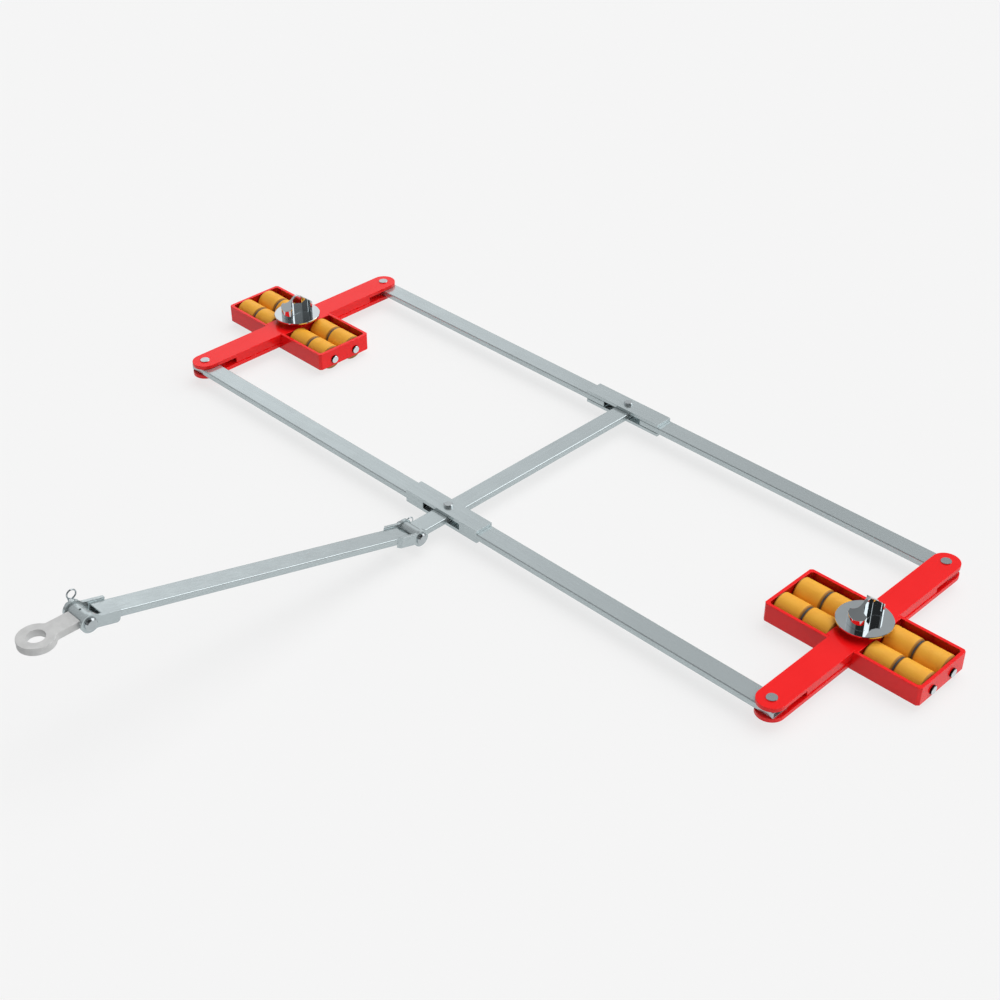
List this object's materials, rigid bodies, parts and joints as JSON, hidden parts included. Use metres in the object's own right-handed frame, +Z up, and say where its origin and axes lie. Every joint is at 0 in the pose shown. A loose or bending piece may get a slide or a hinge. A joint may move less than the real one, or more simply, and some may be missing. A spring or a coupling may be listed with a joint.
{
  "type": "steerable machine skate",
  "caption": "Steerable skate: roller boxes with container locks on turntables, joined by tie rods in a parallelogram that a hinged drawbar with a towing eye turns.",
  "frame": {"origin": "on the floor, at the middle of the bounding box", "axes": "+X along the tie rods, towards the skate on the right as seen from the drawbar; +Y away from the drawbar; +Z up"},
  "size_m": [2.747, 2.1239, 0.3917],
  "materials": {
    "red_paint": "glossy red enamel",
    "amber_plastic": "smooth cast polyurethane tyre over a steel hub",
    "zinc_plate": "dull blue-grey zinc plate",
    "pin_steel": "turned steel",
    "polished_steel": "mirror polish",
    "eye_steel": "satin plain steel"
  },
  "bodies": {
    "centre": {"centre_tube": "zinc_plate", "sleeve_pins": "pin_steel", "sleeve_pin_collars": "pin_steel", "hinge_barrel": "zinc_plate"},
    "front_rod": {"front_left_rod": "zinc_plate", "front_right_rod": "zinc_plate", "front_sleeve": "zinc_plate"},
    "back_rod": {"back_left_rod": "zinc_plate", "back_right_rod": "zinc_plate", "back_sleeve": "zinc_plate"},
    "left_skate": {"left_box": "red_paint", "left_top_plate": "red_paint", "left_lower_plates": "red_paint", "left_arm_strips": "red_paint", "left_arm_pins": "pin_steel", "left_pin_collars": "pin_steel", "left_axles": "pin_steel", "left_spacers": "pin_steel", "left_swivel_boss": "red_paint"},
    "left_swivel": {"left_turntable": "polished_steel", "left_spindle_nut": "pin_steel", "left_lock": "polished_steel"},
    "left_roller_1": {"left_roller_1": "amber_plastic"},
    "left_roller_2": {"left_roller_2": "amber_plastic"},
    "left_roller_3": {"left_roller_3": "amber_plastic"},
    "left_roller_4": {"left_roller_4": "amber_plastic"},
    "left_roller_5": {"left_roller_5": "amber_plastic"},
    "left_roller_6": {"left_roller_6": "amber_plastic"},
    "left_roller_7": {"left_roller_7": "amber_plastic"},
    "left_roller_8": {"left_roller_8": "amber_plastic"},
    "right_skate": {"right_box": "red_paint", "right_top_plate": "red_paint", "right_lower_plates": "red_paint", "right_arm_strips": "red_paint", "right_arm_pins": "pin_steel", "right_pin_collars": "pin_steel", "right_axles": "pin_steel", "right_spacers": "pin_steel", "right_swivel_boss": "red_paint"},
    "right_swivel": {"right_turntable": "polished_steel", "right_spindle_nut": "pin_steel", "right_lock": "polished_steel"},
    "right_roller_1": {"right_roller_1": "amber_plastic"},
    "right_roller_2": {"right_roller_2": "amber_plastic"},
    "right_roller_3": {"right_roller_3": "amber_plastic"},
    "right_roller_4": {"right_roller_4": "amber_plastic"},
    "right_roller_5": {"right_roller_5": "amber_plastic"},
    "right_roller_6": {"right_roller_6": "amber_plastic"},
    "right_roller_7": {"right_roller_7": "amber_plastic"},
    "right_roller_8": {"right_roller_8": "amber_plastic"},
    "drawbar": {"drawbar_tube": "zinc_plate", "hinge_ears": "zinc_plate", "hinge_pin": "pin_steel", "hinge_cotter": "polished_steel", "fork_ears": "zinc_plate", "fork_pin": "pin_steel", "fork_cotter": "polished_steel"},
    "eye": {"eye_barrel": "zinc_plate", "towing_eye": "eye_steel"}
  },
  "joints": [
    {"name": "front_rod_swing", "type": "hinge", "parent": "centre", "child": "front_rod", "pos_m": [0, 0.25998, 0.053], "axis": [0, 0, 1], "range_deg": [-40, 40]},
    {"name": "back_rod_swing", "type": "hinge", "parent": "centre", "child": "back_rod", "pos_m": [0, 1.02198, 0.053], "axis": [0, 0, 1], "range_deg": [-40, 40]},
    {"name": "left_skate_steer", "type": "hinge", "parent": "front_rod", "child": "left_skate", "pos_m": [-1.1295, 0.25998, 0.053], "axis": [0, 0, 1], "range_deg": [-40, 40]},
    {"name": "left_swivel_turn", "type": "hinge", "parent": "left_skate", "child": "left_swivel", "pos_m": [-1.1295, 0.64098, 0.0755], "axis": [0, 0, 1], "continuous": true},
    {"name": "left_roller_1_spin", "type": "hinge", "parent": "left_skate", "child": "left_roller_1", "pos_m": [-1.1295, 0.59648, 0.04], "axis": [1, 0, 0], "continuous": true},
    {"name": "left_roller_2_spin", "type": "hinge", "parent": "left_skate", "child": "left_roller_2", "pos_m": [-1.1295, 0.59648, 0.04], "axis": [1, 0, 0], "continuous": true},
    {"name": "left_roller_3_spin", "type": "hinge", "parent": "left_skate", "child": "left_roller_3", "pos_m": [-1.1295, 0.59648, 0.04], "axis": [1, 0, 0], "continuous": true},
    {"name": "left_roller_4_spin", "type": "hinge", "parent": "left_skate", "child": "left_roller_4", "pos_m": [-1.1295, 0.59648, 0.04], "axis": [1, 0, 0], "continuous": true},
    {"name": "left_roller_5_spin", "type": "hinge", "parent": "left_skate", "child": "left_roller_5", "pos_m": [-1.1295, 0.68548, 0.04], "axis": [1, 0, 0], "continuous": true},
    {"name": "left_roller_6_spin", "type": "hinge", "parent": "left_skate", "child": "left_roller_6", "pos_m": [-1.1295, 0.68548, 0.04], "axis": [1, 0, 0], "continuous": true},
    {"name": "left_roller_7_spin", "type": "hinge", "parent": "left_skate", "child": "left_roller_7", "pos_m": [-1.1295, 0.68548, 0.04], "axis": [1, 0, 0], "continuous": true},
    {"name": "left_roller_8_spin", "type": "hinge", "parent": "left_skate", "child": "left_roller_8", "pos_m": [-1.1295, 0.68548, 0.04], "axis": [1, 0, 0], "continuous": true},
    {"name": "right_skate_steer", "type": "hinge", "parent": "front_rod", "child": "right_skate", "pos_m": [1.1295, 0.25998, 0.053], "axis": [0, 0, 1], "range_deg": [-40, 40]},
    {"name": "right_swivel_turn", "type": "hinge", "parent": "right_skate", "child": "right_swivel", "pos_m": [1.1295, 0.64098, 0.0755], "axis": [0, 0, 1], "continuous": true},
    {"name": "right_roller_1_spin", "type": "hinge", "parent": "right_skate", "child": "right_roller_1", "pos_m": [1.1295, 0.59648, 0.04], "axis": [1, 0, 0], "continuous": true},
    {"name": "right_roller_2_spin", "type": "hinge", "parent": "right_skate", "child": "right_roller_2", "pos_m": [1.1295, 0.59648, 0.04], "axis": [1, 0, 0], "continuous": true},
    {"name": "right_roller_3_spin", "type": "hinge", "parent": "right_skate", "child": "right_roller_3", "pos_m": [1.1295, 0.59648, 0.04], "axis": [1, 0, 0], "continuous": true},
    {"name": "right_roller_4_spin", "type": "hinge", "parent": "right_skate", "child": "right_roller_4", "pos_m": [1.1295, 0.59648, 0.04], "axis": [1, 0, 0], "continuous": true},
    {"name": "right_roller_5_spin", "type": "hinge", "parent": "right_skate", "child": "right_roller_5", "pos_m": [1.1295, 0.68548, 0.04], "axis": [1, 0, 0], "continuous": true},
    {"name": "right_roller_6_spin", "type": "hinge", "parent": "right_skate", "child": "right_roller_6", "pos_m": [1.1295, 0.68548, 0.04], "axis": [1, 0, 0], "continuous": true},
    {"name": "right_roller_7_spin", "type": "hinge", "parent": "right_skate", "child": "right_roller_7", "pos_m": [1.1295, 0.68548, 0.04], "axis": [1, 0, 0], "continuous": true},
    {"name": "right_roller_8_spin", "type": "hinge", "parent": "right_skate", "child": "right_roller_8", "pos_m": [1.1295, 0.68548, 0.04], "axis": [1, 0, 0], "continuous": true},
    {"name": "drawbar_lift", "type": "hinge", "parent": "centre", "child": "drawbar", "pos_m": [0, 0.12098, 0.053], "axis": [-1, 0, 0], "range_deg": [-30, 74]},
    {"name": "eye_tilt", "type": "hinge", "parent": "drawbar", "child": "eye", "pos_m": [0, -0.89748, 0.34504], "axis": [-1, 0, 0], "range_deg": [-90, 90]}
  ],
  "couplings": [
    {"joint": "back_rod_swing", "follows": "front_rod_swing", "ratio": 1},
    {"joint": "left_skate_steer", "follows": "front_rod_swing", "ratio": -1},
    {"joint": "right_skate_steer", "follows": "front_rod_swing", "ratio": -1}
  ]
}
